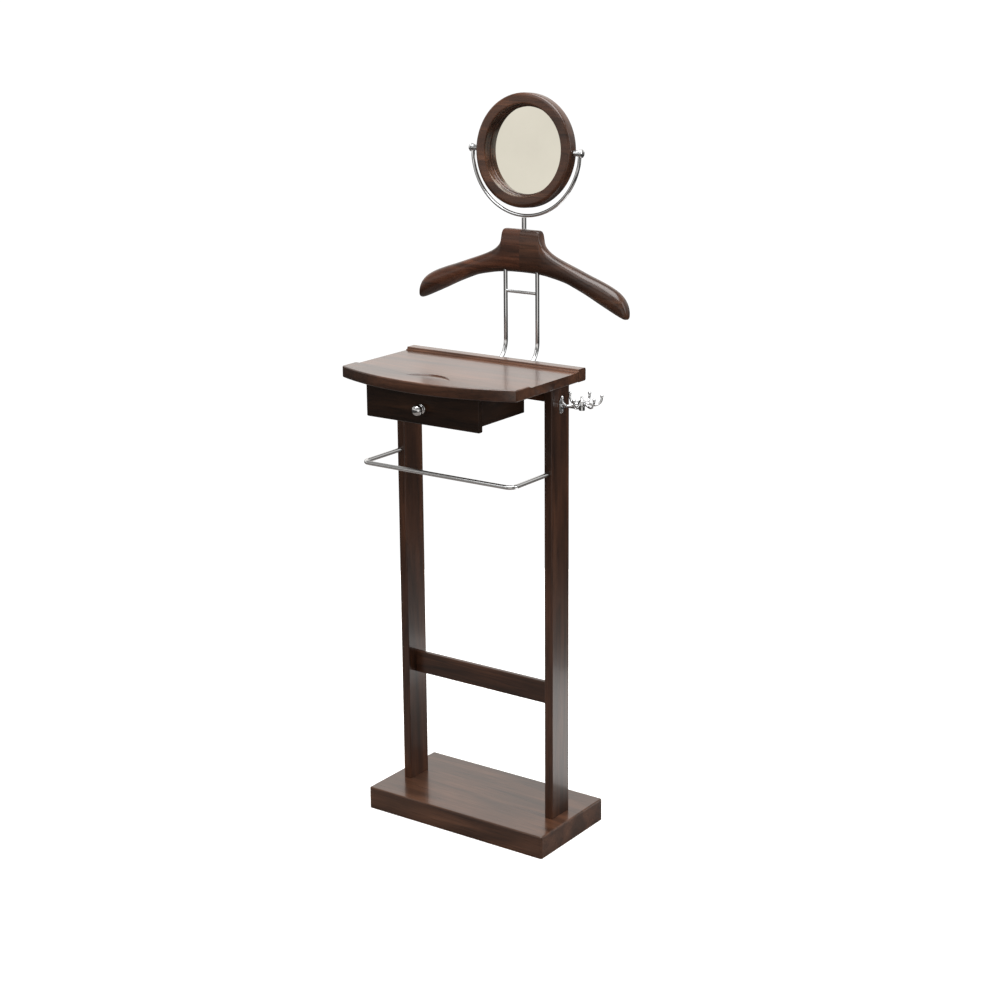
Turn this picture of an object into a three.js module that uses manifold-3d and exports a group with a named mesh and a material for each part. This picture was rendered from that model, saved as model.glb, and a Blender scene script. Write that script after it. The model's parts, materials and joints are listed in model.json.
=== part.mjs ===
// Valet stand: base, two posts, tray with a drawer, trouser bar, coat hanger,
// round tilting mirror and a turning hook wheel.
// Millimetres, +Z up. The origin is the centre of the base's underside and the front faces -Y.
import * as THREE from 'three';
import { mergeVertices } from 'three/addons/utils/BufferGeometryUtils.js';
import Module from 'manifold-3d';

const wasm = await Module();
wasm.setup();

// ---- Driving dimensions ----
const GAP = 0.3; // clearance between two pieces that touch

const BASE_W = 415;
const BASE_D = 215;
const BASE_H = 44.4;
const BASE_EDGE = 3; // radius of the base's top edge

const POST_OUTER_X = 180; // outer face of each post
const POST_T = 18; // post thickness, along X
const POST_D = 58; // post width, along Y

const RAIL_T = 10.5;
const LOWER_RAIL_BOTTOM = 267.6;
const LOWER_RAIL_H = 44;
const UPPER_RAIL_H = 35;

const TRAY_BOTTOM = 895;
const TRAY_BAND_TOP = 917; // raised front band
const TRAY_FIELD_TOP = 913.5; // sunk field behind the band
const TRAY_HALF_W = 197.5;
const TRAY_CORNER_Y = -168; // front corners
const TRAY_FRONT_Y = -212; // middle of the bowed front edge
const TRAY_BACK_Y = 31.2;
const BAND_BACK_Y = -126; // middle of the step from the band down to the field

const BACK_RAIL_Y0 = 31.5;
const BACK_RAIL_Y1 = 56;
const BACK_RAIL_BOTTOM = 895.2;
const BACK_RAIL_TOP = 919.5;

const CASE_HALF_W = 126; // outer face of the drawer case
const CASE_WALL = 10;
const CASE_FRONT_Y = -172;
const CASE_BACK_Y = -39;
const CASE_BOTTOM = 843.2;

const DRAWER_FRONT_Y = -183.8;
const DRAWER_FRONT_T = 11.2;
const DRAWER_FRONT_HALF_W = 127.8;
const DRAWER_FRONT_BOTTOM = 832.8;
const DRAWER_FRONT_TOP = 893.6;
const DRAWER_BOX_HALF_W = 114.8;
const DRAWER_BOX_WALL = 8;
const DRAWER_BOX_BOTTOM = 855;
const DRAWER_BOX_TOP = 889;
const DRAWER_BOX_BACK_Y = -58;
const DRAWER_KNOB_Z = 862.2;

const TROUSER_BAR_R = 4.25;
const TROUSER_BAR_Z = 730.3;
const TROUSER_BAR_Y = -145;
const TROUSER_BAR_BEND = 14;

const ROD_Y = 136; // vertical plane of the upright rods
const HANGER_Y = 141.5; // middle of the hanger's neck
const STEM_Y = 146; // vertical plane of the stem
const ROD_X = 36.8;
const ROD_R = 4;
const ROD_RUN_Z = 890.3; // height of the rods' run under the tray
const ROD_BEND = 46;
const ROD_TOP = 1090;
const CROSS_ROD_Z = 1029.5;
const CROSS_ROD_R = 3;

const HANGER_HALF_W = 241;
const HANGER_NECK_TOP = 1150;
const HANGER_SWEEP = 7; // how far the shoulders bend forward

const PIVOT_Y = 152; // the mirror's tilt axis runs along x through this point
const PIVOT_Z = 1297.54;
const MIRROR_TILT = 4.6; // degrees that the mirror leans back at rest
const MIRROR_R = 107.6;
const MIRROR_T = 26;
const GLASS_DEPTH = 20; // glass face behind the front of its frame
const GLASS_SIGHT_R = 82;
const GLASS_SEAT_R = 91;
const YOKE_LEAN = 3; // degrees that the yoke leans back from its stem
const YOKE_R = 122.3;
const YOKE_END_X = 121; // middle of the flattened ends
const YOKE_END_T = 3.6;
const YOKE_ROD_R = 3.5;
const STEM_R = 4.5;

const HOOK_Z = 868;
const HOOK_HUB_X = 225.7;
const HOOK_REACH = 39.5; // hub axis to the far side of a prong's tip
const HOOK_PRONGS = 6;
const HOOK_WIRE_R = 2.1;
const HOOK_FIRST_ANGLE = 40; // degrees from +X
const HOOK_SCREW_LOW_Z = HOOK_Z - 21.8;
const HOOK_SCREW_HIGH_Z = HOOK_Z - 2.2;

// ---- Materials ----
const wood = () => new THREE.MeshStandardMaterial({ color: '#40281c', roughness: 0.34, metalness: 0 });
const drawerWood = () => new THREE.MeshStandardMaterial({ color: '#26150e', roughness: 0.38, metalness: 0 });
const chrome = () => new THREE.MeshStandardMaterial({ color: '#cfd2d6', roughness: 0.1, metalness: 1 });
const steel = () => new THREE.MeshStandardMaterial({ color: '#8f9296', roughness: 0.35, metalness: 1 });
const silvering = () => new THREE.MeshStandardMaterial({ color: '#dcd8cc', roughness: 0.04, metalness: 1 });

// ---- Solid helpers ----
const signedVolume = (position, index) => {
  const a = new THREE.Vector3();
  const b = new THREE.Vector3();
  const c = new THREE.Vector3();
  let sum = 0;
  for (let i = 0; i < index.length; i += 3) {
    a.fromArray(position, index[i] * 3);
    b.fromArray(position, index[i + 1] * 3);
    c.fromArray(position, index[i + 2] * 3);
    sum += a.dot(b.cross(c));
  }
  return sum / 6;
};

const toSolid = (geometry) => {
  const bare = geometry.clone();
  bare.deleteAttribute('normal');
  bare.deleteAttribute('uv');
  const merged = mergeVertices(bare, 1e-4);
  const vertProperties = new Float32Array(merged.attributes.position.array);
  const kept = [];
  const index = merged.index.array;
  for (let i = 0; i < index.length; i += 3) {
    const [a, b, c] = [index[i], index[i + 1], index[i + 2]];
    if (a !== b && b !== c && c !== a) {
      kept.push(a, b, c);
    }
  }
  if (signedVolume(vertProperties, kept) < 0) {
    kept.reverse();
  }
  const triVerts = new Uint32Array(kept);
  return new wasm.Manifold(new wasm.Mesh({ numProp: 3, vertProperties, triVerts }));
};

const toGeometry = (solid) => {
  const mesh = solid.getMesh();
  const geometry = new THREE.BufferGeometry();
  geometry.setAttribute('position', new THREE.BufferAttribute(mesh.vertProperties, 3));
  geometry.setIndex(new THREE.BufferAttribute(mesh.triVerts, 1));
  geometry.computeVertexNormals();
  return geometry;
};

const cut = (body, ...tools) => {
  let solid = toSolid(body);
  for (const tool of tools) {
    solid = solid.subtract(toSolid(tool));
  }
  return toGeometry(solid);
};

const join = (body, ...others) => {
  let solid = toSolid(body);
  for (const other of others) {
    solid = solid.add(toSolid(other));
  }
  return toGeometry(solid);
};

const common = (body, other) => toGeometry(toSolid(body).intersect(toSolid(other)));

// ---- Shape helpers ----
const roundedRect = (width, depth, radius) => {
  const x = width / 2;
  const y = depth / 2;
  const shape = new THREE.Shape();
  shape.moveTo(-x + radius, -y);
  shape.lineTo(x - radius, -y);
  shape.absarc(x - radius, -y + radius, radius, -Math.PI / 2, 0, false);
  shape.lineTo(x, y - radius);
  shape.absarc(x - radius, y - radius, radius, 0, Math.PI / 2, false);
  shape.lineTo(-x + radius, y);
  shape.absarc(-x + radius, y - radius, radius, Math.PI / 2, Math.PI, false);
  shape.lineTo(-x, -y + radius);
  shape.absarc(-x + radius, -y + radius, radius, Math.PI, Math.PI * 1.5, false);
  return shape;
};

// A shape pushed up from z0 to z1 with its top and bottom edges rounded by the radius edge.
const raise = (shape, z0, z1, edge = 0, edgeSteps = 1, curveSegments = 3) => {
  const geometry = new THREE.ExtrudeGeometry(shape, {
    depth: z1 - z0 - 2 * edge,
    bevelEnabled: edge > 0,
    bevelThickness: edge,
    bevelSize: edge,
    bevelOffset: -edge,
    bevelSegments: edgeSteps,
    curveSegments,
  });
  return geometry.translate(0, 0, z0 + edge);
};

// A rectangular board between two corners.
const board = (x0, x1, y0, y1, z0, z1, corner = 1.2, edge = 0.8) => {
  const shape = roundedRect(x1 - x0, y1 - y0, corner);
  const geometry = raise(shape, z0, z1, edge, 1, 2);
  return geometry.translate((x0 + x1) / 2, (y0 + y1) / 2, 0);
};

// A profile drawn in (y, z) and pushed along X.
const alongX = (shape, x0, x1, edge = 0, edgeSteps = 1, curveSegments = 3) => {
  const geometry = raise(shape, x0, x1, edge, edgeSteps, curveSegments);
  const turn = new THREE.Matrix4();
  turn.makeBasis(new THREE.Vector3(0, 1, 0), new THREE.Vector3(0, 0, 1), new THREE.Vector3(1, 0, 0));
  return geometry.applyMatrix4(turn);
};

const bar = (radius, length, axis, segments = 20) => {
  const geometry = new THREE.CylinderGeometry(radius, radius, length, segments);
  if (axis === 'x') geometry.rotateZ(Math.PI / 2);
  if (axis === 'z') geometry.rotateX(Math.PI / 2);
  return geometry;
};

// A run of points, walked vertex by vertex, for bent rods and wires.
class BentPath extends THREE.Curve {
  constructor(points) {
    super();
    this.points = points;
  }

  getPoint(t) {
    const place = t * (this.points.length - 1);
    const i = Math.min(Math.floor(place), this.points.length - 2);
    return this.points[i].clone().lerp(this.points[i + 1], place - i);
  }

  getPointAt(u) {
    return this.getPoint(u);
  }

  getTangentAt(u) {
    const last = this.points.length - 1;
    const i = Math.round(u * last);
    const before = this.points[Math.max(i - 1, 0)];
    const after = this.points[Math.min(i + 1, last)];
    const here = this.points[i];
    const tangent = new THREE.Vector3();
    if (i > 0) tangent.add(here.clone().sub(before).normalize());
    if (i < last) tangent.add(after.clone().sub(here).normalize());
    return tangent.normalize();
  }
}

// Straight runs between corners, with each inner corner bent to the given radius.
const bendCorners = (corners, radius, steps) => {
  const points = [corners[0].clone()];
  for (let i = 1; i < corners.length - 1; i += 1) {
    const into = corners[i].clone().sub(corners[i - 1]).normalize();
    const out = corners[i + 1].clone().sub(corners[i]).normalize();
    const half = into.angleTo(out) / 2;
    const start = corners[i].clone().addScaledVector(into, -radius * Math.tan(half));
    const inward = out.clone().addScaledVector(into, -out.dot(into)).normalize();
    const centre = start.clone().addScaledVector(inward, radius);
    for (let k = 0; k <= steps; k += 1) {
      const angle = (2 * half * k) / steps;
      const point = centre.clone();
      point.addScaledVector(inward, -radius * Math.cos(angle));
      point.addScaledVector(into, radius * Math.sin(angle));
      points.push(point);
    }
  }
  points.push(corners[corners.length - 1].clone());
  return points;
};

const rod = (points, radius, sides) => {
  const outline = [];
  for (let i = 0; i < sides; i += 1) {
    const angle = (2 * Math.PI * i) / sides;
    outline.push(new THREE.Vector2(radius * Math.cos(angle), radius * Math.sin(angle)));
  }
  return new THREE.ExtrudeGeometry(new THREE.Shape(outline), {
    steps: points.length - 1,
    extrudePath: new BentPath(points),
    bevelEnabled: false,
  });
};

const turned = (profile, segments) => {
  const points = profile.map(([r, y]) => new THREE.Vector2(r, y));
  return new THREE.LatheGeometry(points, segments);
};

const V = (x, y, z) => new THREE.Vector3(x, y, z);

// ---- Assembly group ----
const stand = new THREE.Group();
stand.name = 'valet_stand';

const place = (name, geometry, material) => {
  const mesh = new THREE.Mesh(geometry, material);
  mesh.name = name;
  stand.add(mesh);
  return mesh;
};

// ---- Base ----
const baseSlab = raise(roundedRect(BASE_W, BASE_D, 4), -BASE_EDGE, BASE_H, BASE_EDGE, 5, 5);
const aboveFloor = new THREE.BoxGeometry(600, 400, 100).translate(0, 0, 50);
place('base_board', common(baseSlab, aboveFloor), wood());

// ---- Posts and rails ----
const postTop = TRAY_BOTTOM - GAP;
const postCentreX = POST_OUTER_X - POST_T / 2;
const postInnerX = POST_OUTER_X - POST_T;

// Bore in a post's front face for the end of the trouser bar.
const barBore = (x) => bar(TROUSER_BAR_R + GAP, 40, 'y', 20).translate(x, -POST_D / 2, TROUSER_BAR_Z);

const postShape = roundedRect(POST_T, POST_D, 2.5);
const leftPost = raise(postShape, BASE_H + GAP, postTop).translate(-postCentreX, 0, 0);
const rightPost = raise(postShape, BASE_H + GAP, postTop).translate(postCentreX, 0, 0);

const screwBore = (z) => bar(1.9, 26, 'x', 12).translate(POST_OUTER_X, 0, z);
place('left_post', cut(leftPost, barBore(-postCentreX)), wood());
const rightBores = [barBore(postCentreX), screwBore(HOOK_SCREW_LOW_Z), screwBore(HOOK_SCREW_HIGH_Z)];
place('right_post', cut(rightPost, ...rightBores), wood());

const railEnd = postInnerX - GAP;
const lowerRail = roundedRect(RAIL_T, LOWER_RAIL_H, 2);
const lowerRailZ = LOWER_RAIL_BOTTOM + LOWER_RAIL_H / 2;
place('lower_rail', alongX(lowerRail, -railEnd, railEnd).translate(0, 0, lowerRailZ), wood());

const upperRail = roundedRect(RAIL_T, UPPER_RAIL_H, 1.5);
const upperRailZ = postTop - UPPER_RAIL_H / 2;
const upperRailBody = alongX(upperRail, -railEnd, railEnd).translate(0, 0, upperRailZ);
const rodSockets = [-ROD_X, ROD_X].map((x) => {
  const socket = bar(ROD_R + GAP, 12, 'y', 20);
  return socket.translate(x, RAIL_T / 2 - 6.5 + 6, ROD_RUN_Z);
});
place('upper_rail', cut(upperRailBody, ...rodSockets), wood());

// ---- Tray ----
const trayOutline = new THREE.Shape();
const bowHeight = TRAY_CORNER_Y - TRAY_FRONT_Y;
const bowRadius = (TRAY_HALF_W ** 2 + bowHeight ** 2) / (2 * bowHeight);
const bowCentreY = TRAY_FRONT_Y + bowRadius;
const bowHalfAngle = Math.asin(TRAY_HALF_W / bowRadius);
const bowSteps = 20;
trayOutline.moveTo(TRAY_HALF_W, TRAY_CORNER_Y + 3);
trayOutline.lineTo(TRAY_HALF_W, TRAY_BACK_Y);
trayOutline.lineTo(-TRAY_HALF_W, TRAY_BACK_Y);
trayOutline.lineTo(-TRAY_HALF_W, TRAY_CORNER_Y + 3);
trayOutline.lineTo(-TRAY_HALF_W + 0.8, TRAY_CORNER_Y + 0.9);
for (let i = 0; i <= bowSteps; i += 1) {
  const angle = bowHalfAngle * 0.985 * ((2 * i) / bowSteps - 1);
  trayOutline.lineTo(bowRadius * Math.sin(angle), bowCentreY - bowRadius * Math.cos(angle));
}
trayOutline.lineTo(TRAY_HALF_W - 0.8, TRAY_CORNER_Y + 0.9);
const traySlab = raise(trayOutline, TRAY_BOTTOM, TRAY_BAND_TOP, 2.5, 3);

// Everything above the field, from the eased step behind the band to past the back edge.
const fieldCut = new THREE.Shape();
fieldCut.moveTo(BAND_BACK_Y - 6, TRAY_BAND_TOP + 4);
for (let i = 0; i <= 6; i += 1) {
  const ease = (1 - Math.cos((Math.PI * i) / 6)) / 2;
  const z = TRAY_BAND_TOP + 0.4 - (TRAY_BAND_TOP + 0.4 - TRAY_FIELD_TOP) * ease;
  fieldCut.lineTo(BAND_BACK_Y - 6 + 2 * i, z);
}
fieldCut.lineTo(TRAY_BACK_Y + 10, TRAY_FIELD_TOP);
fieldCut.lineTo(TRAY_BACK_Y + 10, TRAY_BAND_TOP + 4);
const fieldTool = alongX(fieldCut, -TRAY_HALF_W - 10, TRAY_HALF_W + 10);

// Shallow half-moon coin recess with an upright wall along its arc.
const SCOOP_HALF_W = 51;
const SCOOP_FRONT_Y = -166;
const SCOOP_BACK_Y = -139.5;
const SCOOP_DEPTH = 2.2;
const SCOOP_FRONT_DEPTH = 1.2;
const scoopRise = SCOOP_BACK_Y - SCOOP_FRONT_Y;
const scoopRadius = (SCOOP_HALF_W ** 2 + scoopRise ** 2) / (2 * scoopRise);
const scoopHalfAngle = Math.asin(SCOOP_HALF_W / scoopRadius);
const scoopOutline = new THREE.Shape();
for (let i = 0; i <= 24; i += 1) {
  const angle = scoopHalfAngle * (1 - (2 * i) / 24);
  const x = scoopRadius * Math.sin(angle);
  const y = SCOOP_BACK_Y - scoopRadius + scoopRadius * Math.cos(angle);
  if (i === 0) scoopOutline.moveTo(x, y);
  else scoopOutline.lineTo(x, y);
}
const scoopTool = new THREE.ExtrudeGeometry(scoopOutline, { depth: 6, bevelEnabled: false });
const scoopVertices = scoopTool.attributes.position;
for (let i = 0; i < scoopVertices.count; i += 1) {
  const back = (scoopVertices.getY(i) - SCOOP_FRONT_Y) / scoopRise;
  const floor = TRAY_BAND_TOP - SCOOP_FRONT_DEPTH - (SCOOP_DEPTH - SCOOP_FRONT_DEPTH) * back;
  scoopVertices.setZ(i, scoopVertices.getZ(i) < 1 ? floor : TRAY_BAND_TOP + 3);
}
place('tray_board', cut(traySlab, fieldTool, scoopTool), wood());

// Raised moulding that closes the tray at the back, with a small foot over the field.
const backRail = new THREE.Shape();
backRail.moveTo(BACK_RAIL_Y0, BACK_RAIL_BOTTOM + 1);
backRail.lineTo(BACK_RAIL_Y0 + 1, BACK_RAIL_BOTTOM);
backRail.lineTo(BACK_RAIL_Y1 - 2, BACK_RAIL_BOTTOM);
backRail.lineTo(BACK_RAIL_Y1, BACK_RAIL_BOTTOM + 2);
backRail.lineTo(BACK_RAIL_Y1, BACK_RAIL_TOP - 4);
backRail.absarc(BACK_RAIL_Y1 - 4, BACK_RAIL_TOP - 4, 4, 0, Math.PI / 2, false);
backRail.lineTo(BACK_RAIL_Y0 + 1.5, BACK_RAIL_TOP);
backRail.absarc(BACK_RAIL_Y0 + 1.5, BACK_RAIL_TOP - 1.5, 1.5, Math.PI / 2, Math.PI, false);
backRail.lineTo(BACK_RAIL_Y0, TRAY_FIELD_TOP + 2.8);
backRail.lineTo(BACK_RAIL_Y0 - 1, TRAY_FIELD_TOP + 2);
backRail.lineTo(BACK_RAIL_Y0 - 4, TRAY_FIELD_TOP + 1.4);
backRail.lineTo(BACK_RAIL_Y0 - 4.6, TRAY_FIELD_TOP + GAP);
backRail.lineTo(BACK_RAIL_Y0, TRAY_FIELD_TOP + GAP);
const backRailHalf = TRAY_HALF_W + 0.5;
place('tray_back_rail', alongX(backRail, -backRailHalf, backRailHalf, 0.25, 1, 4), wood());

// ---- Drawer case ----
const caseTop = TRAY_BOTTOM - GAP;
const caseInnerX = CASE_HALF_W - CASE_WALL;
for (const [side, sign] of [['left', -1], ['right', 1]]) {
  const wall = board(0, CASE_WALL, CASE_FRONT_Y, CASE_BACK_Y, CASE_BOTTOM, caseTop);
  wall.translate(sign > 0 ? caseInnerX : -CASE_HALF_W, 0, 0);
  place(`case_side_${side}`, wall, drawerWood());
}
const caseBackHalf = caseInnerX - GAP;
const caseBack = board(-caseBackHalf, caseBackHalf, CASE_BACK_Y - 10, CASE_BACK_Y, CASE_BOTTOM, caseTop);
place('case_back', caseBack, drawerWood());
const runnerEndY = CASE_BACK_Y - 10 - GAP;
for (const [side, sign] of [['left', -1], ['right', 1]]) {
  const runner = board(0, 11, CASE_FRONT_Y + 1, runnerEndY, CASE_BOTTOM + 0.4, DRAWER_BOX_BOTTOM - 0.4);
  runner.translate(sign > 0 ? caseInnerX - GAP - 11 : -caseInnerX + GAP, 0, 0);
  place(`case_runner_${side}`, runner, drawerWood());
}

// ---- Drawer ----
const drawerFrontBack = DRAWER_FRONT_Y + DRAWER_FRONT_T;
const drawerFrontBody = board(
  -DRAWER_FRONT_HALF_W,
  DRAWER_FRONT_HALF_W,
  DRAWER_FRONT_Y,
  drawerFrontBack,
  DRAWER_FRONT_BOTTOM,
  DRAWER_FRONT_TOP,
  2,
  1.6,
);
const knobScrewBore = bar(2.4, 30, 'y', 16).translate(0, DRAWER_FRONT_Y, DRAWER_KNOB_Z);
place('drawer_front', cut(drawerFrontBody, knobScrewBore), drawerWood());

const boxFrontY = drawerFrontBack + GAP;
const boxInnerX = DRAWER_BOX_HALF_W - DRAWER_BOX_WALL;
for (const [side, sign] of [['left', -1], ['right', 1]]) {
  const wall = board(0, DRAWER_BOX_WALL, boxFrontY, DRAWER_BOX_BACK_Y, DRAWER_BOX_BOTTOM, DRAWER_BOX_TOP);
  wall.translate(sign > 0 ? boxInnerX : -DRAWER_BOX_HALF_W, 0, 0);
  place(`drawer_side_${side}`, wall, drawerWood());
}
const innerHalf = boxInnerX - GAP;
const drawerBackY = DRAWER_BOX_BACK_Y - DRAWER_BOX_WALL;
place(
  'drawer_back',
  board(-innerHalf, innerHalf, drawerBackY, DRAWER_BOX_BACK_Y, DRAWER_BOX_BOTTOM, DRAWER_BOX_TOP - 2),
  drawerWood(),
);
place(
  'drawer_bottom',
  board(-innerHalf, innerHalf, boxFrontY, drawerBackY - GAP, DRAWER_BOX_BOTTOM + 0.4, DRAWER_BOX_BOTTOM + 3.4),
  drawerWood(),
);

// Turned knob: flange, neck and a flattened ball, with a screw from inside the drawer.
const knobProfile = [
  [0, 21],
  [4, 20.7],
  [7.4, 19.2],
  [9.8, 16.6],
  [10.8, 13.4],
  [10.1, 10.4],
  [7.4, 8.2],
  [5.2, 6.6],
  [4.8, 4.4],
  [6, 3],
  [8.8, 2.2],
  [9.2, 0.8],
  [8.6, 0],
  [0, 0],
];
const knob = turned(knobProfile, 24).rotateX(Math.PI).translate(0, DRAWER_FRONT_Y - GAP, DRAWER_KNOB_Z);
const knobThread = bar(2.4, 18, 'y', 16).translate(0, DRAWER_FRONT_Y - 0.5, DRAWER_KNOB_Z);
place('drawer_knob', cut(knob, knobThread), chrome());

const screwProfile = [
  [0, 0],
  [2, 0],
  [2, 19],
  [3.2, 19.5],
  [3.4, 20.4],
  [2.6, 21.6],
  [0, 22],
];
const knobScrew = turned(screwProfile, 16).translate(0, drawerFrontBack + GAP - 19.3, DRAWER_KNOB_Z);
place('drawer_knob_screw', toGeometry(toSolid(knobScrew)), steel());

// ---- Trouser bar ----
const barEndY = -POST_D / 2 + 18;
const barCorners = [
  V(-postCentreX, barEndY, TROUSER_BAR_Z),
  V(-postCentreX, TROUSER_BAR_Y, TROUSER_BAR_Z),
  V(postCentreX, TROUSER_BAR_Y, TROUSER_BAR_Z),
  V(postCentreX, barEndY, TROUSER_BAR_Z),
];
place('trouser_bar', rod(bendCorners(barCorners, TROUSER_BAR_BEND, 8), TROUSER_BAR_R, 14), chrome());

// ---- Upright rods ----
const rodStartY = RAIL_T / 2 - 6.2;
for (const [side, sign] of [['left', -1], ['right', 1]]) {
  const corners = [
    V(sign * ROD_X, rodStartY, ROD_RUN_Z),
    V(sign * ROD_X, ROD_Y, ROD_RUN_Z),
    V(sign * ROD_X, ROD_Y, ROD_TOP),
  ];
  place(`upright_rod_${side}`, rod(bendCorners(corners, ROD_BEND, 10), ROD_R, 14), chrome());
}
const crossBody = bar(CROSS_ROD_R, 2 * ROD_X, 'x', 14).translate(0, ROD_Y, CROSS_ROD_Z);
const saddle = (x) => bar(ROD_R + GAP, 30, 'z', 20).translate(x, ROD_Y, CROSS_ROD_Z);
place('upright_cross_rod', cut(crossBody, saddle(-ROD_X), saddle(ROD_X)), chrome());

// ---- Coat hanger ----
// Top and bottom of the front view, from the centre joint out to the shoulder tip.
const hangerTop = [
  [0, HANGER_NECK_TOP],
  [36, HANGER_NECK_TOP],
  [40, HANGER_NECK_TOP - 0.6],
  [41.8, HANGER_NECK_TOP - 2.4],
  [42.6, HANGER_NECK_TOP - 6],
  [43.4, 1138],
  [45, 1130],
  [48.2, 1122.5],
  [54, 1115.5],
  [63, 1108.5],
  [77, 1101.3],
  [98, 1093],
  [122, 1084.6],
  [150, 1074.6],
  [180, 1064.6],
  [204, 1055],
  [219, 1046.6],
  [229, 1037.6],
  [235, 1028.6],
  [238.6, 1019.6],
  [240.4, 1011.4],
  [HANGER_HALF_W, 1005.6],
];
const hangerBottom = [
  [0, 1067.5],
  [25, 1067],
  [50, 1065],
  [75, 1061],
  [104, 1054.6],
  [122, 1048],
  [150, 1036.4],
  [180, 1022.4],
  [204, 1011.6],
  [219, 1005],
  [229, 1001],
  [235, 999.4],
  [238.6, 999.8],
  [240.4, 1001.4],
  [HANGER_HALF_W, 1004],
];
const hangerHalfThickness = [
  [0, 12.5],
  [36, 12.5],
  [70, 13.4],
  [110, 15.5],
  [160, 17],
  [204, 17],
  [222, 16],
  [232, 13.4],
  [237.5, 9.8],
  [240.2, 5.6],
  [HANGER_HALF_W, 1.5],
];
const along = (table, x) => {
  for (let i = 1; i < table.length; i += 1) {
    const [x0, v0] = table[i - 1];
    const [x1, v1] = table[i];
    if (x <= x1) return v0 + ((v1 - v0) * (x - x0)) / (x1 - x0);
  }
  return table[table.length - 1][1];
};

// Closed skin over a row of rings that all have the same number of points.
const skin = (rings) => {
  const count = rings[0].length;
  const position = rings.flat().flatMap((p) => [p.x, p.y, p.z]);
  const index = [];
  for (let r = 0; r < rings.length - 1; r += 1) {
    for (let k = 0; k < count; k += 1) {
      const a = r * count + k;
      const b = r * count + ((k + 1) % count);
      index.push(a, b, a + count, b, b + count, a + count);
    }
  }
  const lastRing = (rings.length - 1) * count;
  for (let k = 1; k < count - 1; k += 1) {
    index.push(0, k + 1, k);
    index.push(lastRing, lastRing + k, lastRing + k + 1);
  }
  const geometry = new THREE.BufferGeometry();
  geometry.setAttribute('position', new THREE.Float32BufferAttribute(position, 3));
  geometry.setIndex(index);
  return geometry;
};

const HANGER_RING = 20;
const hangerStations = hangerTop.map(([x]) => x);
hangerStations[0] = GAP / 2;
hangerStations.splice(1, 0, 20);
const hangerRing = (x, sign) => {
  const zTop = along(hangerTop, x);
  const zBottom = along(hangerBottom, x);
  const half = along(hangerHalfThickness, x);
  const forward = HANGER_SWEEP * (x / HANGER_HALF_W) ** 2;
  const squareness = 3.6 - 1.2 * Math.min(x / 150, 1); // 2 is an ellipse, more is boxier
  const ring = [];
  for (let k = 0; k < HANGER_RING; k += 1) {
    const angle = (2 * Math.PI * (k + 0.5)) / HANGER_RING;
    const c = Math.cos(angle);
    const s = Math.sin(angle);
    const y = HANGER_Y - forward + half * Math.sign(c) * Math.abs(c) ** (2 / squareness);
    const z = (zTop + zBottom) / 2 + ((zTop - zBottom) / 2) * Math.sign(s) * Math.abs(s) ** (2 / squareness);
    ring.push(V(sign * x, y, z));
  }
  return ring;
};
const stemBore = bar(STEM_R + GAP, 60, 'z', 20).translate(0, STEM_Y, HANGER_NECK_TOP);
for (const [side, sign] of [['left', -1], ['right', 1]]) {
  const half = skin(hangerStations.map((x) => hangerRing(x, sign)));
  const rodBore = bar(ROD_R + GAP, 60, 'z', 20).translate(sign * ROD_X, ROD_Y, ROD_TOP + GAP - 30);
  place(`hanger_${side}`, cut(half, rodBore, stemBore), wood());
}

// ---- Mirror ----
// Profiles are (radius, depth behind the front face). The body is made upright, then leant back.
const frameProfile = [
  [GLASS_SIGHT_R, GLASS_DEPTH - GAP],
  [GLASS_SIGHT_R, 16.8],
  [83, 15.6],
  [84, 15.4],
  [84.2, 11.8],
  [85.3, 10.6],
  [85.9, 10.4],
  [86.1, 3.2],
  [87.2, 0.9],
  [89.2, 0],
  [100.6, 0],
  [104.9, 0.8],
  [107, 2.6],
  [MIRROR_R, 5.4],
  [MIRROR_R, MIRROR_T - 5.4],
  [106.6, MIRROR_T - 2.8],
  [103.4, MIRROR_T - 0.8],
  [99.5, MIRROR_T],
  [GLASS_SEAT_R, MIRROR_T],
  [GLASS_SEAT_R, GLASS_DEPTH - GAP],
  [GLASS_SIGHT_R, GLASS_DEPTH - GAP],
];
const leanBack = (geometry, degrees) => {
  return geometry.rotateX(THREE.MathUtils.degToRad(-degrees)).translate(0, PIVOT_Y, PIVOT_Z);
};
const inMirror = (profile, ...bores) => {
  const body = cut(turned(profile, 52).translate(0, -MIRROR_T / 2, 0), ...bores);
  return leanBack(body, MIRROR_TILT);
};
const pinBore = (sign) => bar(2.8, 24, 'x', 16).translate(sign * MIRROR_R, 0, 0);
place('mirror_frame', inMirror(frameProfile, pinBore(-1), pinBore(1)), wood());

const glassR = GLASS_SEAT_R - GAP;
const glassBack = GLASS_DEPTH + 2.7;
const glassProfile = [
  [0, GLASS_DEPTH],
  [glassR, GLASS_DEPTH],
  [glassR, glassBack],
  [0, glassBack],
];
place('mirror_glass', inMirror(glassProfile), silvering());

const backProfile = [
  [0, glassBack + GAP],
  [glassR, glassBack + GAP],
  [glassR, MIRROR_T - 0.8],
  [glassR - 0.8, MIRROR_T],
  [0, MIRROR_T],
];
place('mirror_back', inMirror(backProfile), wood());

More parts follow.
